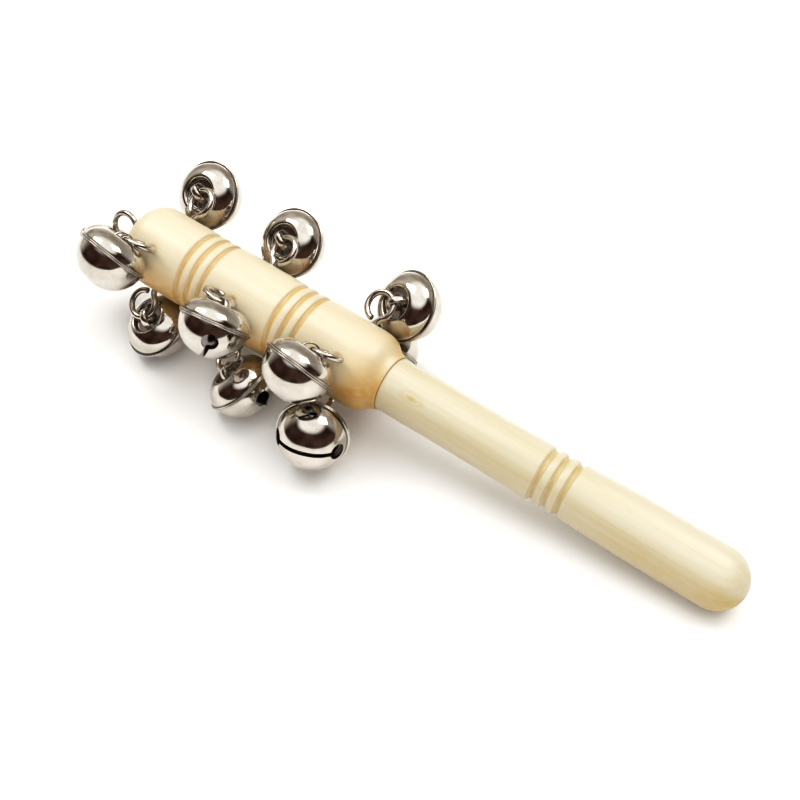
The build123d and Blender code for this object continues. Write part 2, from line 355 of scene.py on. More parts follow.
def put(me, o, z, x):
    """Moves a mesh drawn in millimetres in its own frame to its place in the row frame."""
    y = vcross(z, x)
    m = Matrix(((x[0], y[0], z[0], o[0]), (x[1], y[1], z[1], o[1]), (x[2], y[2], z[2], o[2]), (0, 0, 0, 1)))
    me.transform(Matrix.Scale(MM, 4) @ m)
    return me


def keep_local(me, name="local_mm"):
    """Stores where each point is in its own frame, for the materials."""
    at = me.attributes.new(name, "FLOAT_VECTOR", "POINT")
    co = np.empty(len(me.vertices) * 3, np.float32)
    me.vertices.foreach_get("co", co)
    at.data.foreach_set("vector", co)
    return me


def piece(name, me, body, slot, mat, *nodes):
    o = bpy.data.objects.new(name, me)
    bpy.context.scene.collection.objects.link(o)
    me.materials.clear()
    me.materials.append(mat)
    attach(o, body)
    if nodes:
        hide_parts(*nodes)
    return o


# ---------------------------------------------------------------- materials
class Nodes:
    def __init__(self, name):
        self.mat = bpy.data.materials.new(name)
        self.mat.use_nodes = True
        self.t = self.mat.node_tree
        self.t.nodes.clear()
        self.out = self.t.nodes.new("ShaderNodeOutputMaterial")
        self.bsdf = self.t.nodes.new("ShaderNodeBsdfPrincipled")
        self.link(self.bsdf.outputs[0], self.out.inputs[0])

    def link(self, a, b):
        self.t.links.new(a, b)

    def new(self, kind, **props):
        n = self.t.nodes.new(kind)
        for k, v in props.items():
            setattr(n, k, v)
        return n

    def set(self, **values):
        for k, v in values.items():
            self.bsdf.inputs[k.replace("_", " ")].default_value = v

    def attr(self, name, out="Vector"):
        n = self.new("ShaderNodeAttribute", attribute_name=name)
        return n.outputs[out]

    def mapping(self, vec, scale=(1, 1, 1), loc=(0, 0, 0), rot=(0, 0, 0)):
        n = self.new("ShaderNodeMapping")
        n.inputs["Scale"].default_value = scale
        n.inputs["Location"].default_value = loc
        n.inputs["Rotation"].default_value = rot
        self.link(vec, n.inputs["Vector"])
        return n.outputs[0]

    def noise(self, vec, scale=1.0, detail=3.0, rough=0.5, dist=0.0):
        n = self.new("ShaderNodeTexNoise")
        n.inputs["Scale"].default_value = scale
        n.inputs["Detail"].default_value = detail
        n.inputs["Roughness"].default_value = rough
        n.inputs["Distortion"].default_value = dist
        self.link(vec, n.inputs["Vector"])
        return n.outputs["Fac"]

    def ramp(self, fac, stops, mode="LINEAR"):
        n = self.new("ShaderNodeValToRGB")
        n.color_ramp.interpolation = mode
        els = n.color_ramp.elements
        while len(els) < len(stops):
            els.new(0.5)
        for e, (pos, col) in zip(els, stops):
            e.position = pos
            e.color = (col, col, col, 1) if isinstance(col, (int, float)) else (*col, 1)
        self.link(fac, n.inputs[0])
        return n.outputs[0]

    def mix(self, fac, a, b, mode="MIX"):
        n = self.new("ShaderNodeMix", data_type="RGBA", blend_type=mode)
        for sock, v in ((n.inputs[0], fac), (n.inputs[6], a), (n.inputs[7], b)):
            if hasattr(v, "is_linked") or hasattr(v, "links"):
                self.link(v, sock)
            elif isinstance(v, (int, float)):
                sock.default_value = v if sock is n.inputs[0] else (v, v, v, 1)
            else:
                sock.default_value = (*v, 1)
        return n.outputs[2]

    def math(self, op, a, b=0.0, c=None):
        n = self.new("ShaderNodeMath", operation=op)
        for sock, v in ((n.inputs[0], a), (n.inputs[1], b), (n.inputs[2], c)):
            if v is None:
                continue
            if isinstance(v, (int, float)):
                sock.default_value = v
            else:
                self.link(v, sock)
        return n.outputs[0]

    def bump(self, height, strength, distance, under=None):
        n = self.new("ShaderNodeBump")
        n.inputs["Strength"].default_value = strength
        n.inputs["Distance"].default_value = distance
        self.link(height, n.inputs["Height"])
        if under is not None:
            self.link(under, n.inputs["Normal"])
        return n.outputs[0]


def wood(name, light, mid, dark, deep, coat, coat_rough, streak):
    """Pale turned wood under clear lacquer, grain running along the stick."""
    n = Nodes(name)
    co = n.attr("along_mm")
    wide = n.noise(n.mapping(co, (0.010, 0.11, 0.11), (3.1, 0.4, 1.7)), 1.0, 3, 0.5, 0.4)
    col = n.ramp(wide, [(0.30, mid), (0.52, light), (0.72, mid)])
    # growth rings cut by the turning: long soft streaks
    w = n.new("ShaderNodeTexWave", wave_type="RINGS", rings_direction="X", wave_profile="SIN")
    w.inputs["Scale"].default_value = 0.34
    w.inputs["Distortion"].default_value = 2.6
    w.inputs["Detail"].default_value = 2.5
    w.inputs["Detail Scale"].default_value = 0.9
    n.link(n.mapping(co, (0.03, 0.55, 0.55), (0.0, 6.5, 3.2)), w.inputs["Vector"])
    rings = n.ramp(w.outputs["Fac"], [(0.0, 0.0), (0.62, 0.12), (0.86, 1.0), (1.0, 0.35)])
    col = n.mix(n.math("MULTIPLY", rings, 0.34 * streak), col, dark)
    fine = n.noise(n.mapping(co, (0.035, 1.9, 1.9)), 1.0, 5, 0.62)
    col = n.mix(n.math("MULTIPLY", n.ramp(fine, [(0.42, 0.0), (0.66, 1.0)]), 0.30 * streak), col, dark)
    hair = n.noise(n.mapping(co, (0.11, 6.5, 6.5)), 1.0, 3, 0.7)
    pores = n.ramp(hair, [(0.58, 0.0), (0.70, 1.0)])
    col = n.mix(n.math("MULTIPLY", pores, 0.22 * streak), col, deep)
    # burn lines from the turning tool in the grooves; painted shade round the screw eyes, on the rounded ends and
    # along the underside
    burn_and_shade = n.attr("burn_and_shade", "Fac")
    blotch = n.noise(n.mapping(co, (0.35, 0.5, 0.5)), 1.0, 2, 0.5)
    burn_and_shade_fac = n.math("MULTIPLY", burn_and_shade, n.ramp(blotch, [(0.2, 0.65), (0.8, 1.0)]))
    col = n.mix(burn_and_shade_fac, col, deep)
    n.link(col, n.bsdf.inputs["Base Color"])
    rough = n.ramp(n.noise(n.mapping(co, (0.06, 0.3, 0.3)), 1.0, 4, 0.6), [(0.25, 0.34), (0.75, 0.50)])
    n.link(rough, n.bsdf.inputs["Roughness"])
    n.set(Coat_Weight=coat, Coat_Roughness=coat_rough, Coat_IOR=1.5, Specular_IOR_Level=0.35,
          Subsurface_Weight=0.12, Subsurface_Radius=(1.0, 0.55, 0.25), Subsurface_Scale=0.0012)
    b1 = n.bump(n.noise(n.mapping(co, (0.05, 0.35, 0.35)), 1.0, 2, 0.5), 0.25, 0.00012)
    b2 = n.bump(fine, 0.10, 0.00005, b1)
    n.link(b2, n.bsdf.inputs["Normal"])
    n.link(b1, n.bsdf.inputs["Coat Normal"])
    return n.mat


def nickel(name, bright, dull, rough_lo, rough_hi, spin=0.0, dents=0.3):
    """Polished nickel plate: faint haze, soft dents from the press, hairline marks."""
    n = Nodes(name)
    geo = n.new("ShaderNodeTexCoord").outputs["Object"]
    local = n.attr("local_mm")
    haze = n.noise(geo, 260, 4, 0.55, 0.3)
    col = n.mix(n.ramp(haze, [(0.35, 0.0), (0.75, 1.0)]), bright, dull)
    specks = n.noise(geo, 1500, 2, 0.5)
    spots = n.math("MULTIPLY", n.ramp(specks, [(0.69, 0.0), (0.74, 1.0)]), 0.45)
    col = n.mix(spots, col, (0.23, 0.17, 0.13))
    # shade attribute: painted shade in recesses, corners and where the shank meets the wood; also the real dark seam
    # and the bare cut end
    shade = n.attr("shade", "Fac")
    col = n.mix(n.math("MULTIPLY", shade, 0.9), col, (0.085, 0.06, 0.045))
    n.link(col, n.bsdf.inputs["Base Color"])
    smear = n.noise(geo, 420, 5, 0.65, 0.6)
    rough = n.new("ShaderNodeMapRange")
    rough.inputs["From Min"].default_value = 0.3
    rough.inputs["From Max"].default_value = 0.75
    rough.inputs["To Min"].default_value = rough_lo
    rough.inputs["To Max"].default_value = rough_hi
    n.link(smear, rough.inputs["Value"])
    n.link(n.math("ADD", rough.outputs[0], n.math("MULTIPLY", shade, 0.2)), n.bsdf.inputs["Roughness"])
    n.set(Metallic=1.0)
    b = n.bump(n.noise(geo, 190, 2, 0.5), dents, 0.00016)
    scr = n.noise(n.mapping(local, (0.35, 0.35, 9.0)), 1.0, 3, 0.6)
    b = n.bump(scr, 0.10 + spin, 0.00002, b)
    n.link(b, n.bsdf.inputs["Normal"])
    return n.mat


head_wood = wood("maple_head", (0.585, 0.53, 0.405), (0.545, 0.475, 0.34), (0.54, 0.435, 0.235), (0.445, 0.24, 0.024), 0.22, 0.32, 0.5)
handle_wood = wood("maple_handle", (0.545, 0.51, 0.41), (0.51, 0.465, 0.335), (0.47, 0.40, 0.235), (0.41, 0.285, 0.075), 0.30, 0.26, 0.80)
shell_metal = nickel("nickel_plate", (0.64, 0.605, 0.55), (0.50, 0.46, 0.405), 0.075, 0.15, 0.04, 0.30)
wire_metal = nickel("nickel_wire", (0.67, 0.625, 0.565), (0.50, 0.455, 0.395), 0.12, 0.24, 0.10, 0.22)
strip_metal = nickel("nickel_strip", (0.68, 0.635, 0.575), (0.52, 0.47, 0.41), 0.10, 0.24, 0.14, 0.25)
ball_metal = nickel("steel_ball", (0.50, 0.48, 0.46), (0.30, 0.27, 0.25), 0.22, 0.42, 0.10, 0.5)


# ---------------------------------------------------------------- the stick
def groups(centre):
    return (centre - GROOVE_PITCH, centre, centre + GROOVE_PITCH)


def groove_points(centres, radius):
    lip = radius - GROOVE_EASE
    ease = 0.8
    first, last = centres[0] - GROOVE_HALF, centres[-1] + GROOVE_HALF
    out = [arc3((first - ease, radius), (first - ease * 0.45, radius - GROOVE_EASE * 0.28), (first, lip), 5)]
    for i, c in enumerate(centres):
        out.append(arc3((c - GROOVE_HALF, lip), (c, radius - GROOVE_DEPTH), (c + GROOVE_HALF, lip), 10))
        if i < len(centres) - 1:
            m = centres[i + 1]
            out.append(arc3((c + GROOVE_HALF, lip), ((c + m) / 2, radius), (m - GROOVE_HALF, lip), 10))
    out.append(arc3((last, lip), (last + ease * 0.55, radius - GROOVE_EASE * 0.28), (last + ease, radius), 5))
    return chain(*out), first - ease, last + ease


def straight(a, b, step=0.6):
    n = max(1, int(sqrt((a[0] - b[0]) ** 2 + (a[1] - b[1]) ** 2) / step))
    return [(a[0] + (b[0] - a[0]) * k / n, a[1] + (b[1] - a[1]) * k / n) for k in range(n + 1)]


parts = [[(0.0, 0.0), (0.0, 1.2), (0.0, 2.2)], cubic([(0, HEAD_TIP_FLAT_R), (1.35, 7.6), (4.0, 11.1), (HEAD_TIP_ROUND, HEAD_R)], (0.12, 1), (1, 0), 10)]
x = HEAD_TIP_ROUND
for g in HEAD_GROOVES:
    gp, a0, a1 = groove_points(groups(g), HEAD_R)
    parts += [straight((x, HEAD_R), (a0, HEAD_R)), gp]
    x = a1
sh = HEAD_LENGTH - HEAD_SHOULDER
parts += [straight((x, HEAD_R), (sh, HEAD_R)),
          cubic([(sh, HEAD_R), (sh + 5.2, HEAD_R - 1.25), (HEAD_LENGTH - 1.0, HEAD_R - 3.5), (HEAD_LENGTH, NECK_R + 0.15)], (1, 0), (0.1, -1), 10),
          [(HEAD_LENGTH, NECK_R + 0.15), (HEAD_LENGTH - 0.02, NECK_R - 0.3), (HEAD_LENGTH - 0.3, NECK_R - 1.5), (HEAD_LENGTH - 0.3, TENON_R), (HEAD_LENGTH - 0.3, 0.0)]]
head_line = chain(*parts)

gp, h0, h1 = groove_points(groups(HANDLE_GROOVES[0]), WAIST_R + 0.2)
end_s = STICK_LENGTH - GRIP_R
handle_line = chain(
    [(HEAD_LENGTH - 6, 0.0), (HEAD_LENGTH - 6, TENON_R), (HEAD_LENGTH - 0.25, TENON_R), (HEAD_LENGTH - 0.02, NECK_R - 0.35), (HEAD_LENGTH + 0.12, NECK_R - 0.08)],
    cubic([(HEAD_LENGTH + 0.3, NECK_R), (122, WAIST_R), (h0, WAIST_R + 0.2)], (1, -0.008), (1, 0.008), 40),
    gp,
    cubic([(h1, WAIST_R + 0.2), (168, WAIST_R + 0.5), (GRIP_FULL_AT, GRIP_R - 0.03), (end_s, GRIP_R)], (1, 0.012), (1, 0.0), 22),
    [(end_s + GRIP_R * sin(k * pi / 48), GRIP_R * cos(k * pi / 48)) for k in range(1, 25)],
)


def turned(name, line, segs, burn_and_shade_at, knot=None):
    """The wood about the stick's axis, with hand-turned unevenness well under the CAD's size."""
    verts, faces = lathe([(max(r, 0.0) if r > 1e-4 else 0.0, s) for s, r in line], segs)
    me = mesh_from(name, verts, faces, 40)
    nv = len(me.vertices)
    co = np.empty(nv * 3)
    me.vertices.foreach_get("co", co)
    co = co.reshape(-1, 3)
    s, r = co[:, 2].copy(), np.hypot(co[:, 0], co[:, 1])
    th = np.arctan2(co[:, 1], co[:, 0])
    ripple = -0.035 * (1 + np.sin(s * 0.83 + 1.3 * np.sin(s * 0.21)) * 0.6 + 0.4 * np.sin(2 * th + s * 0.05))
    k = np.where(r > 1e-6, 1 + ripple / np.maximum(r, 2.0), 1.0)
    k = np.minimum(k, 1.0)
    co[:, 0] *= k
    co[:, 1] *= k
    burn_and_shade = burn_and_shade_at(s, r, th)
    # the lathe's Z is the stick's axis, its X is up across the stick, its Y is to the far side
    at = me.attributes.new("along_mm", "FLOAT_VECTOR", "POINT")
    at.data.foreach_set("vector", np.stack([s, co[:, 0], co[:, 1]], 1).astype(np.float32).ravel())
    at = me.attributes.new("burn_and_shade", "FLOAT", "POINT")
    at.data.foreach_set("value", burn_and_shade.astype(np.float32))
    me.vertices.foreach_set("co", co.ravel())
    a, u, f = (np.array(v) for v in (AXIS, UP, FAR))
    m = Matrix(((u[0], f[0], a[0], TIP[0]), (u[1], f[1], a[1], TIP[1]), (u[2], f[2], a[2], TIP[2]), (0, 0, 0, 1)))
    me.transform(Matrix.Scale(MM, 4) @ m)
    me.update()
    return me


def in_grooves(s, r, spots, full):
    b = np.zeros_like(s)
    for c in spots:
        for g in groups(c):
            d = np.abs(s - g) / GROOVE_HALF
            b = np.maximum(b, np.clip(1.12 - d, 0, 1) * full)
            b = np.maximum(b, np.clip(1.55 - d, 0, 1) * full * 0.22)
    return b


def head_burn_and_shade(s, r, th):
    b = in_grooves(s, r, HEAD_GROOVES, 0.85)
    # painted shade on the sides and underside of both rounded ends and along the whole underside
    turn = np.abs(np.degrees(th))
    ends_shade_ramp = np.clip((s - (HEAD_LENGTH - 12.0)) / 11.0, 0, 1) ** 0.9 + 0.75 * np.clip((8.0 - s) / 8.0, 0, 1)
    side = np.clip((turn - 4) / 46, 0, 1)
    under = np.clip((turn - 48) / 48, 0, 1)
    under = under * under * (3 - 2 * under)
    b = np.maximum(b, np.minimum(ends_shade_ramp * (0.03 + 0.82 * side) + 0.92 * under, 0.97))
    # painted shade: a darker rim in the wood round each shank
    for row, placed in zip(BELLS, PLACED):
        s0, t0 = row[1], radians(row[2])
        yaw, off = radians(row[3]), row[4]
        ds = s - (s0)
        dt = (th - t0 + pi) % (2 * pi) - pi
        d = np.hypot(ds, dt * HEAD_R)
        b = np.maximum(b, np.clip((1.9 - d) / 0.8, 0, 1) * 0.75)
    # painted shade round the tip screw eye's shank at the middle of the bell end
    d = np.where(s < 0.5, r, 99)
    b = np.maximum(b, np.clip((2.0 - d) / 0.8, 0, 1) * 0.75)
    return b


def handle_burn_and_shade(s, r, th):
    b = in_grooves(s, r, HANDLE_GROOVES, 0.88)
    b = np.maximum(b, np.clip((HEAD_LENGTH + 0.9 - s) / 0.9, 0, 1) * 0.30)
    # painted shade along the underside, deeper towards the grip; the grip's end is darker all round and much darker
    # underneath as painted shade
    turn = np.abs(np.degrees(th))
    under = np.clip((turn - 34) / 44, 0, 1)
    under = under * under * (3 - 2 * under)
    grip_ramp = np.clip((s - 158.0) / 22.0, 0, 1)
    b = np.maximum(b, (0.24 + 0.26 * grip_ramp) * under + np.clip((s - (STICK_LENGTH - 14.0)) / 14.0, 0, 1) ** 1.3 * (0.18 + 0.42 * under))
    # one small pin knot near the head, with the grain bending round it
    ds = s - KNOT[0]
    dt = ((th - radians(KNOT[1]) + pi) % (2 * pi) - pi) * NECK_R
    d = np.hypot(ds / 1.9, dt / 0.75)
    b = np.maximum(b, np.clip(1.35 - d, 0, 1) * 0.80)
    ring = np.exp(-((np.hypot(ds / 3.4, dt / 1.5) - 1) / 0.22) ** 2)
    b = np.maximum(b, ring * 0.30)
    return b


KNOT = (105.5, -40.0)
piece("turned_head", turned("turned_head", head_line, 256, head_burn_and_shade), "stick", "lacquered_wood", head_wood, "head")
piece("turned_handle", turned("turned_handle", handle_line, 224, handle_burn_and_shade), "stick", "plain_wood", handle_wood, "handle")


# ---------------------------------------------------------------- screw eyes
def eye_mesh(name, offset, depth):
    drop = sqrt(RING_R**2 - offset**2)
    start = atan2(-drop, -offset)
    turn = radians(360 - RING_GAP) * (-1 if offset >= 0 else 1)
    lead = 1.9
    ta = lead / RING_R * (1 if turn > 0 else -1)
    p0 = (-offset, -drop - lead)
    c = (-offset, -drop)
    p1 = (RING_R * cos(start + ta), RING_R * sin(start + ta))
    path = [(-offset, -RING_HEIGHT - 1.5), (-offset, -RING_HEIGHT - 0.4), (-offset, (-RING_HEIGHT - 0.4 + p0[1]) / 2)]
    for k in range(13):
        u = k / 12
        path.append(((1 - u) ** 2 * p0[0] + 2 * u * (1 - u) * c[0] + u * u * p1[0], (1 - u) ** 2 * p0[1] + 2 * u * (1 - u) * c[1] + u * u * p1[1]))
    n = 76
    for k in range(1, n + 1):
        a = start + ta + (turn - ta) * k / n
        path.append((RING_R * cos(a), RING_R * sin(a)))
    verts, faces = tube([(px, py, 0) for px, py in path], WIRE_R - 0.01, 22)
    me = mesh_from(name, verts, faces, 38)
    keep_local(me)
    # the cut end shows bare metal; painted shade on the shank where it meets the wood
    at = me.attributes.new("shade", "FLOAT", "POINT")
    e = Vector((RING_R * cos(start + turn), RING_R * sin(start + turn), 0))
    at.data.foreach_set("value", [0.55 if (v.co - e).length < WIRE_R * 0.98 else (0.35 if v.co.y < -RING_HEIGHT + 0.25 else 0.0) for v in me.vertices])
    return me


def merge(name, meshes):
    bm = bmesh.new()
    for me in meshes:
        bm.from_mesh(me)
    out = bpy.data.meshes.new(name)
    bm.to_mesh(out)
    bm.free()
    for p in out.polygons:
        p.use_smooth = True
    return out


for row, placed in zip(BELLS, PLACED):
    foot, centre, out, across = placed[1]
    me = eye_mesh("eye_" + row[0][-2:], row[4], SHANK_DEPTH)
    put(me, centre, vcross(across, out), across)
    piece("screw_eye_" + row[0][-2:], me, "stick", "nickel_wire", wire_metal)
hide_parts("screw_eyes")
foot, centre, out, across = PLACED[-1][1]
me = eye_mesh("eye_13", TIP_BELL[2], TIP_SHANK_DEPTH)
put(me, centre, vcross(across, out), across)
piece("screw_eye_13", me, "stick", "nickel_wire", wire_metal, "tip_screw_eye")

# ---------------------------------------------------------------- bell shells
SEGS = 144
do = cubic([(10.30, 0.45), (10.05, 1.65), (9.25, 3.10), (7.90, 4.40), (6.45, 5.28), (5.55, 5.55)], (0.02, 1), (-1, 0.12), 7)
di = cubic([(5.62, 5.08), (6.30, 4.86), (7.64, 4.00), (8.87, 2.80), (9.60, 1.50), (9.85, 0.06)], (1, -0.12), (-0.02, -1), 6)
dome_line = chain(
    do,
    arc3((5.55, 5.55), (5.08, 5.42), (4.85, 4.98), 7),
    straight((4.85, 4.98), (4.75, 4.35), 0.25),
    arc3((4.75, 4.35), (4.60, 4.03), (4.28, 3.90), 6),
    straight((4.28, 3.90), (0.0, 3.90), 0.7),
    straight((0.0, 3.45), (4.45, 3.45), 0.9),
    arc3((4.45, 3.45), (4.97, 3.68), (5.20, 4.20), 5),
    arc3((5.28, 4.80), (5.40, 5.02), (5.62, 5.08), 4),
    di,
    [(9.85, 0.06), (10.30, 0.05), (10.78, 0.06)],
    arc3((10.80, 0.06), (10.99, 0.25), (10.78, 0.45), 8),
    [(10.78, 0.45), (10.45, 0.45), (10.36, 0.47), (10.30, 0.53)],
)
co_ = cubic([(10.28, -0.53), (10.15, -2.10), (9.50, -4.45), (8.10, -6.70), (5.90, -8.65), (3.10, -9.85), (0, -10.20)], (0, -1), (-1, 0), 7)
ci_ = cubic([(0, -9.75), (3.00, -9.42), (5.68, -8.26), (7.75, -6.42), (9.08, -4.28), (9.72, -2.05), (9.85, -0.04)], (1, 0), (0.02, 1), 6)
cup_line = chain(
    co_,
    ci_,
    [(9.85, -0.04), (10.3, -0.03), (10.70, -0.04)],
    arc3((10.72, -0.04), (10.90, -0.23), (10.70, -0.45), 8),
    [(10.70, -0.45), (10.42, -0.45), (10.33, -0.47)],
)


def shade_by(me, fn):
    at = me.attributes.new("shade", "FLOAT", "POINT")
    at.data.foreach_set("value", [float(fn(v.co)) for v in me.vertices])


def ramp01(x, a, b):
    """0 at a, 1 at b, whichever of the two is larger."""
    return min(1.0, max(0.0, (x - a) / (b - a)))


v, f = lathe(dome_line, SEGS, closed=True)
dome_mesh = mesh_from("dome", v, f, 38)
keep_local(dome_mesh)


def dome_shade(c):
    r = sqrt(c.x**2 + c.y**2)
    s = 0.0
    if r < 4.7 and c.z < 4.2:
        s = 0.30 + 0.35 * ramp01(r, 3.2, 4.7)      # painted shade in the recess
    if abs(c.z) < 0.075 and r > 9.8:
        s = 0.9                                    # the seam
    # painted shade in the corner where the flange meets the dome
    if 10.0 < r < 10.5 and 0.42 < c.z < 1.0:
        s = max(s, 0.85 * ramp01(c.z, 1.0, 0.5) if c.z > 0.5 else 0.85)
    return s


shade_by(dome_mesh, dome_shade)

v, f = lathe(cup_line, SEGS, closed=True)
cup_solid = mesh_from("cup_blank", v, f, 38)


def cutter():
    """The slot and a round hole at each end, as three closed tools."""
    bm = bmesh.new()
    pts = []
    w, l = SLOT_W / 2, 8.5
    ring = [(-l, -w), (l, -w), (l, w), (-l, w)]
    lo = [bm.verts.new((px, py, -11.6)) for px, py in ring]
    hi = [bm.verts.new((px, py, -5.2)) for px, py in ring]
    bm.faces.new(lo[::-1])
    bm.faces.new(hi)
    for k in range(4):
        j = (k + 1) % 4
        bm.faces.new((lo[k], lo[j], hi[j], hi[k]))
    slot_me = bpy.data.meshes.new("slot_tool")
    bm.to_mesh(slot_me)
    bm.free()
    tools = [slot_me]
    for side in (0, 180):
        bm = bmesh.new()
        bmesh.ops.create_cone(bm, cap_ends=True, segments=40, radius1=HOLE_R, radius2=HOLE_R, depth=4.4)
        d = Matrix.Rotation(radians(side), 4, "Z") @ Matrix.Translation((8.7, 0, -5.25)) @ Matrix.Rotation(radians(90 + HOLE_PITCH), 4, "Y")
        bmesh.ops.transform(bm, matrix=d, verts=bm.verts)
        m = bpy.data.meshes.new("hole_tool")
        bm.to_mesh(m)
        bm.free()
        tools.append(m)
    return tools


def cut(base, tools):
    o = bpy.data.objects.new("cut_base", base)
    bpy.context.scene.collection.objects.link(o)
    made = []
    for k, t in enumerate(tools):
        c = bpy.data.objects.new(f"cut_tool_{k}", t)
        bpy.context.scene.collection.objects.link(c)
        made.append(c)
        m = o.modifiers.new(f"cut{k}", "BOOLEAN")
        m.operation, m.solver, m.object = "DIFFERENCE", "EXACT", c
    bpy.context.view_layer.update()
    me = bpy.data.meshes.new_from_object(o.evaluated_get(bpy.context.evaluated_depsgraph_get()))
    for c in made + [o]:
        bpy.data.objects.remove(c)
    return me


cup_mesh = cut(cup_solid, cutter())
cup_mesh.name = "cup"
cup_mesh.materials.clear()
bm = bmesh.new()
bm.from_mesh(cup_mesh)
bmesh.ops.remove_doubles(bm, verts=bm.verts, dist=0.004)
bmesh.ops.dissolve_degenerate(bm, dist=0.003, edges=bm.edges)
bmesh.ops.recalc_face_normals(bm, faces=bm.faces)
bm.to_mesh(cup_mesh)
bm.free()
for p in cup_mesh.polygons:
    p.use_smooth = True
cup_mesh.set_sharp_from_angle(angle=radians(38))
keep_local(cup_mesh)
OUTER = co_


def cup_shade(c):
    r = sqrt(c.x**2 + c.y**2)
    # painted shade on the inner skin and the cut walls
    best = min(sqrt((r - q[0]) ** 2 + (c.z - q[1]) ** 2) for q in OUTER)
    s = ramp01(best, 0.20, 0.38) if c.z < -0.6 else 0.0
    if abs(c.z) < 0.075 and r > 9.8:
        s = 0.9
    # painted shade in the corner where the flange meets the cup
    if 10.0 < r < 10.5 and -1.0 < c.z < -0.42:
        s = max(s, 0.85 * ramp01(-c.z, 1.0, 0.5) if c.z < -0.5 else 0.85)
    return s


shade_by(cup_mesh, cup_shade)

# hanger: flat strip with rounded edges, bent to an arch
half = [(3.45, 3.60), (3.05, 5.30), (1.80, 7.08), (0.0, 7.55)]
arch = cubic(half + [(-y, z) for y, z in half[-2::-1]], (0, 1), (0, -1), 8)
strip_line = chain(
    straight((4.45, 3.20), (3.85, 3.20), 0.3),
    arc3((3.85, 3.20), (3.57, 3.32), (3.45, 3.60), 5),
    arch,
    arc3((-3.45, 3.60), (-3.57, 3.32), (-3.85, 3.20), 5),
    straight((-3.85, 3.20), (-4.45, 3.20), 0.3),
)
w2, t2, c2 = STRIP_W / 2, STRIP_T / 2, 0.13
section = [(-w2, -t2 + c2), (-w2 + c2, -t2), (w2 - c2, -t2), (w2, -t2 + c2), (w2, t2 - c2), (w2 - c2, t2), (-w2 + c2, t2), (-w2, t2 - c2)]
verts, faces = [], []
n = len(strip_line)
for k, (py, pz) in enumerate(strip_line):
    qy, qz = strip_line[min(k + 1, n - 1)]
    ry, rz = strip_line[max(k - 1, 0)]
    ty, tz = qy - ry, qz - rz
    ln = sqrt(ty * ty + tz * tz)
    ty, tz = ty / ln, tz / ln
    for sx, sn in section:
        verts.append((sx, py - tz * sn, pz + ty * sn))
for k in range(n - 1):
    for j in range(8):
        i = (j + 1) % 8
        faces.append([k * 8 + j, k * 8 + i, (k + 1) * 8 + i, (k + 1) * 8 + j])
faces.append(list(range(8))[::-1])
faces.append(list(range((n - 1) * 8, n * 8)))
hanger_mesh = mesh_from("hanger", verts, faces, 50)
keep_local(hanger_mesh)
# painted shade on the hanger's feet, down in the recess
shade_by(hanger_mesh, lambda c: 0.45 * ramp01(4.6 - c.z, 0.0, 0.9))

# pellet: a slightly uneven ball
bm = bmesh.new()
bmesh.ops.create_icosphere(bm, subdivisions=5, radius=PELLET_R)
for q in bm.verts:
    d = q.co.normalized()
    q.co *= 1 - 0.006 * (1 + sin(7 * d.x + 2.1) * sin(9 * d.y + 0.7) * sin(8 * d.z + 1.9))
pellet_mesh = bpy.data.meshes.new("pellet")
bm.to_mesh(pellet_mesh)
bm.free()
for p in pellet_mesh.polygons:
    p.use_smooth = True
keep_local(pellet_mesh)
shade_by(pellet_mesh, lambda c: 0.1)

for name, eye, o_, z_, x_, hold, slot in PLACED:
    no = name[-2:]
    y_ = vcross(z_, x_)
    piece("dome_" + no, put(dome_mesh.copy(), o_, z_, x_), name, "nickel_shell", shell_metal, name + "_dome")
    t = radians(slot)
    xs = vadd(vmul(x_, cos(t)), vmul(y_, sin(t)))
    piece("cup_" + no, put(cup_mesh.copy(), o_, z_, xs), name, "nickel_shell", shell_metal, name + "_cup")
    piece("hanger_" + no, put(hanger_mesh.copy(), o_, z_, x_), name, "nickel_strip", strip_metal, name + "_hanger")
    low, high = pellet_travel(z_, x_)
    c = vadd(o_, vmul(x_, low[0]), vmul(y_, low[1]), vmul(z_, low[2]))
    piece("ball_" + no, put(pellet_mesh.copy(), c, z_, x_), "pellet_" + no, "steel_ball", ball_metal, name + "_pellet")

# ---------------------------------------------------------------- floor
bm = bmesh.new()
bmesh.ops.create_grid(bm, x_segments=8, y_segments=8, size=2.2)
me = bpy.data.meshes.new("floor")
bm.to_mesh(me)
bm.free()
floor = bpy.data.objects.new("floor", me)
bpy.context.scene.collection.objects.link(floor)
n = Nodes("studio_floor")
tex = n.new("ShaderNodeTexCoord").outputs["Object"]
n.link(n.ramp(n.noise(tex, 3.0, 2, 0.5), [(0.3, (0.80, 0.80, 0.797)), (0.7, (0.825, 0.826, 0.822))]), n.bsdf.inputs["Base Color"])
n.set(Roughness=0.75, Specular_IOR_Level=0.2)
me.materials.append(n.mat)

# ---------------------------------------------------------------- light
world = bpy.data.worlds.new("studio")
bpy.context.scene.world = world
world.use_nodes = True
t = world.node_tree
t.nodes.clear()
wo = t.nodes.new("ShaderNodeOutputWorld")
bg = t.nodes.new("ShaderNodeBackground")
t.links.new(bg.outputs[0], wo.inputs[0])
tc = t.nodes.new("ShaderNodeTexCoord")
nz = t.nodes.new("ShaderNodeTexNoise")
nz.inputs["Scale"].default_value = 1.7
nz.inputs["Detail"].default_value = 1.0
t.links.new(tc.outputs["Generated"], nz.inputs["Vector"])


def vmath(op, a, b=None):
    q = t.nodes.new("ShaderNodeVectorMath")
    q.operation = op
    for s_, v_ in ((q.inputs[0], a), (q.inputs[1], b)):
        if v_ is None:
            continue
        if isinstance(v_, tuple):
            s_.default_value = v_
        else:
            t.links.new(v_, s_)
    return q


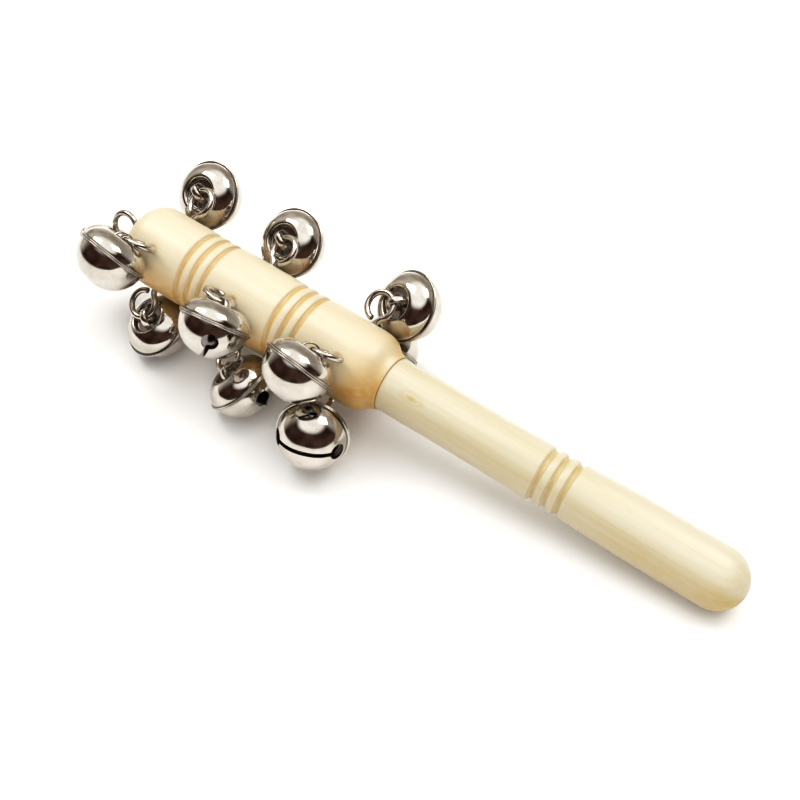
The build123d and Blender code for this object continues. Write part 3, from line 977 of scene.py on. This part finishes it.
def opening(direction, inner, outer):
    """1 inside a soft-edged round patch of the room about this direction."""
    d = vmath("DOT_PRODUCT", vmath("NORMALIZE", tc.outputs["Generated"]).outputs[0], vunit(direction)).outputs["Value"]
    wob = t.nodes.new("ShaderNodeMath")
    wob.operation = "MULTIPLY_ADD"
    t.links.new(nz.outputs["Fac"], wob.inputs[0])
    wob.inputs[1].default_value = 0.16
    wob.inputs[2].default_value = -0.08
    ad = t.nodes.new("ShaderNodeMath")
    ad.operation = "ADD"
    t.links.new(d, ad.inputs[0])
    t.links.new(wob.outputs[0], ad.inputs[1])
    mr = t.nodes.new("ShaderNodeMapRange")
    mr.interpolation_type = "SMOOTHSTEP"
    mr.inputs["From Min"].default_value = cos(radians(outer))
    mr.inputs["From Max"].default_value = cos(radians(inner))
    t.links.new(ad.outputs[0], mr.inputs["Value"])
    return mr.outputs[0]


def wmix(fac, a, b):
    q = t.nodes.new("ShaderNodeMix")
    q.data_type = "RGBA"
    t.links.new(fac, q.inputs[0])
    for s_, v_ in ((q.inputs[6], a), (q.inputs[7], b)):
        if isinstance(v_, tuple):
            s_.default_value = (*v_, 1)
        else:
            t.links.new(v_, s_)
    return q.outputs[2]


sep = t.nodes.new("ShaderNodeSeparateXYZ")
t.links.new(vmath("NORMALIZE", tc.outputs["Generated"]).outputs[0], sep.inputs[0])


def wrange(v, a, b):
    mr = t.nodes.new("ShaderNodeMapRange")
    mr.interpolation_type = "SMOOTHSTEP"
    mr.inputs["From Min"].default_value = a
    mr.inputs["From Max"].default_value = b
    t.links.new(v, mr.inputs["Value"])
    return mr.outputs[0]


# a dim warm room round a white table, brighter behind the object, pale ceiling
side = vmath("DOT_PRODUCT", vmath("NORMALIZE", tc.outputs["Generated"]).outputs[0], vunit((0.45, -0.89, 0.0))).outputs["Value"]
walls = wmix(wrange(nz.outputs["Fac"], 0.30, 0.80), (0.040, 0.017, 0.012), (0.13, 0.070, 0.052))
back_wall = wmix(wrange(nz.outputs["Fac"], 0.3, 0.7), (0.80, 0.76, 0.70), (0.46, 0.42, 0.37))
room = wmix(wrange(side, -0.35, 0.12), back_wall, walls)
room = wmix(wrange(sep.outputs["Z"], 0.68, 0.87), room, (1.45, 1.44, 1.42))
# seen directly, the room is a pale backdrop; reflections and light come from the room itself
seen = t.nodes.new("ShaderNodeLightPath").outputs["Is Camera Ray"]
t.links.new(wmix(seen, room, (0.93, 0.925, 0.915)), bg.inputs["Color"])
bg.inputs["Strength"].default_value = 1.0


def soft_box(name, where, at, size, watts, colour=(1, 1, 1)):
    L = bpy.data.lights.new(name, "AREA")
    L.shape, L.size, L.size_y = "RECTANGLE", size[0], size[1]
    L.energy, L.color = watts, colour
    o = bpy.data.objects.new(name, L)
    bpy.context.scene.collection.objects.link(o)
    o.location = where
    o.rotation_euler = (Vector(where) - Vector(at)).to_track_quat("Z", "Y").to_euler()
    return o


ceiling = soft_box("ceiling", (0.05, 0.25, 1.0), (0.0, 0.05, 0), (1.7, 1.5), 8.0, (1.0, 0.995, 0.98))
soft_box("key", (0.30, 0.42, 0.80), (-0.03, 0, 0), (0.42, 0.42), 2.1, (1.0, 0.985, 0.95))
window = soft_box("window", (-0.52, 0.02, 0.80), (-0.03, 0, 0), (0.30, 0.46), 2.4, (1.0, 0.99, 0.97))
window_low = soft_box("window_low", (-0.60, -0.58, 0.46), (-0.03, 0, 0), (0.16, 0.30), 0.30, (1.0, 0.99, 0.97))
fill = soft_box("fill", (0.45, -0.76, 0.56), (0.0, 0, 0), (0.7, 0.6), 4.7, (1.0, 0.99, 0.97))
for lamp in (ceiling, window_low, fill):
    lamp.visible_glossy = False

# ---------------------------------------------------------------- camera
cam = bpy.data.cameras.new("camera")
cam_o = bpy.data.objects.new("camera", cam)
bpy.context.scene.collection.objects.link(cam_o)
cam.sensor_fit = "HORIZONTAL"
cam.sensor_width = 36.0
cam.lens = 36.0 * 1150.0 / 800.0
cam.clip_start, cam.clip_end = 0.01, 10
el, az = radians(48.9), radians(-55.9)
back = Vector((cos(el) * cos(az), cos(el) * sin(az), sin(el)))
upv = Vector((-sin(el) * cos(az), -sin(el) * sin(az), cos(el)))
right = Vector((-sin(az), cos(az), 0))
place = Vector((22.95 + ORIGIN_SHIFT[0], -181.9 + ORIGIN_SHIFT[1], 267.1 + ORIGIN_SHIFT[2])) * MM
cam_o.matrix_world = Matrix(((right.x, upv.x, back.x, place.x), (right.y, upv.y, back.y, place.y), (right.z, upv.z, back.z, place.z), (0, 0, 0, 1)))
bpy.context.scene.camera = cam_o
bpy.context.scene.view_settings.view_transform = "Standard"
bpy.context.scene.view_settings.look = "None"
bpy.context.scene.view_settings.exposure = 0.0
bpy.context.scene.view_settings.gamma = 1.0
# a gentle contrast curve, as a small camera gives
bpy.context.scene.view_settings.use_curve_mapping = True
curve = bpy.context.scene.view_settings.curve_mapping
for at, to in ((0.18, 0.122), (0.40, 0.355), (0.68, 0.685)):
    curve.curves[3].points.new(at, to)
curve.update()

bpy.context.view_layer.update()
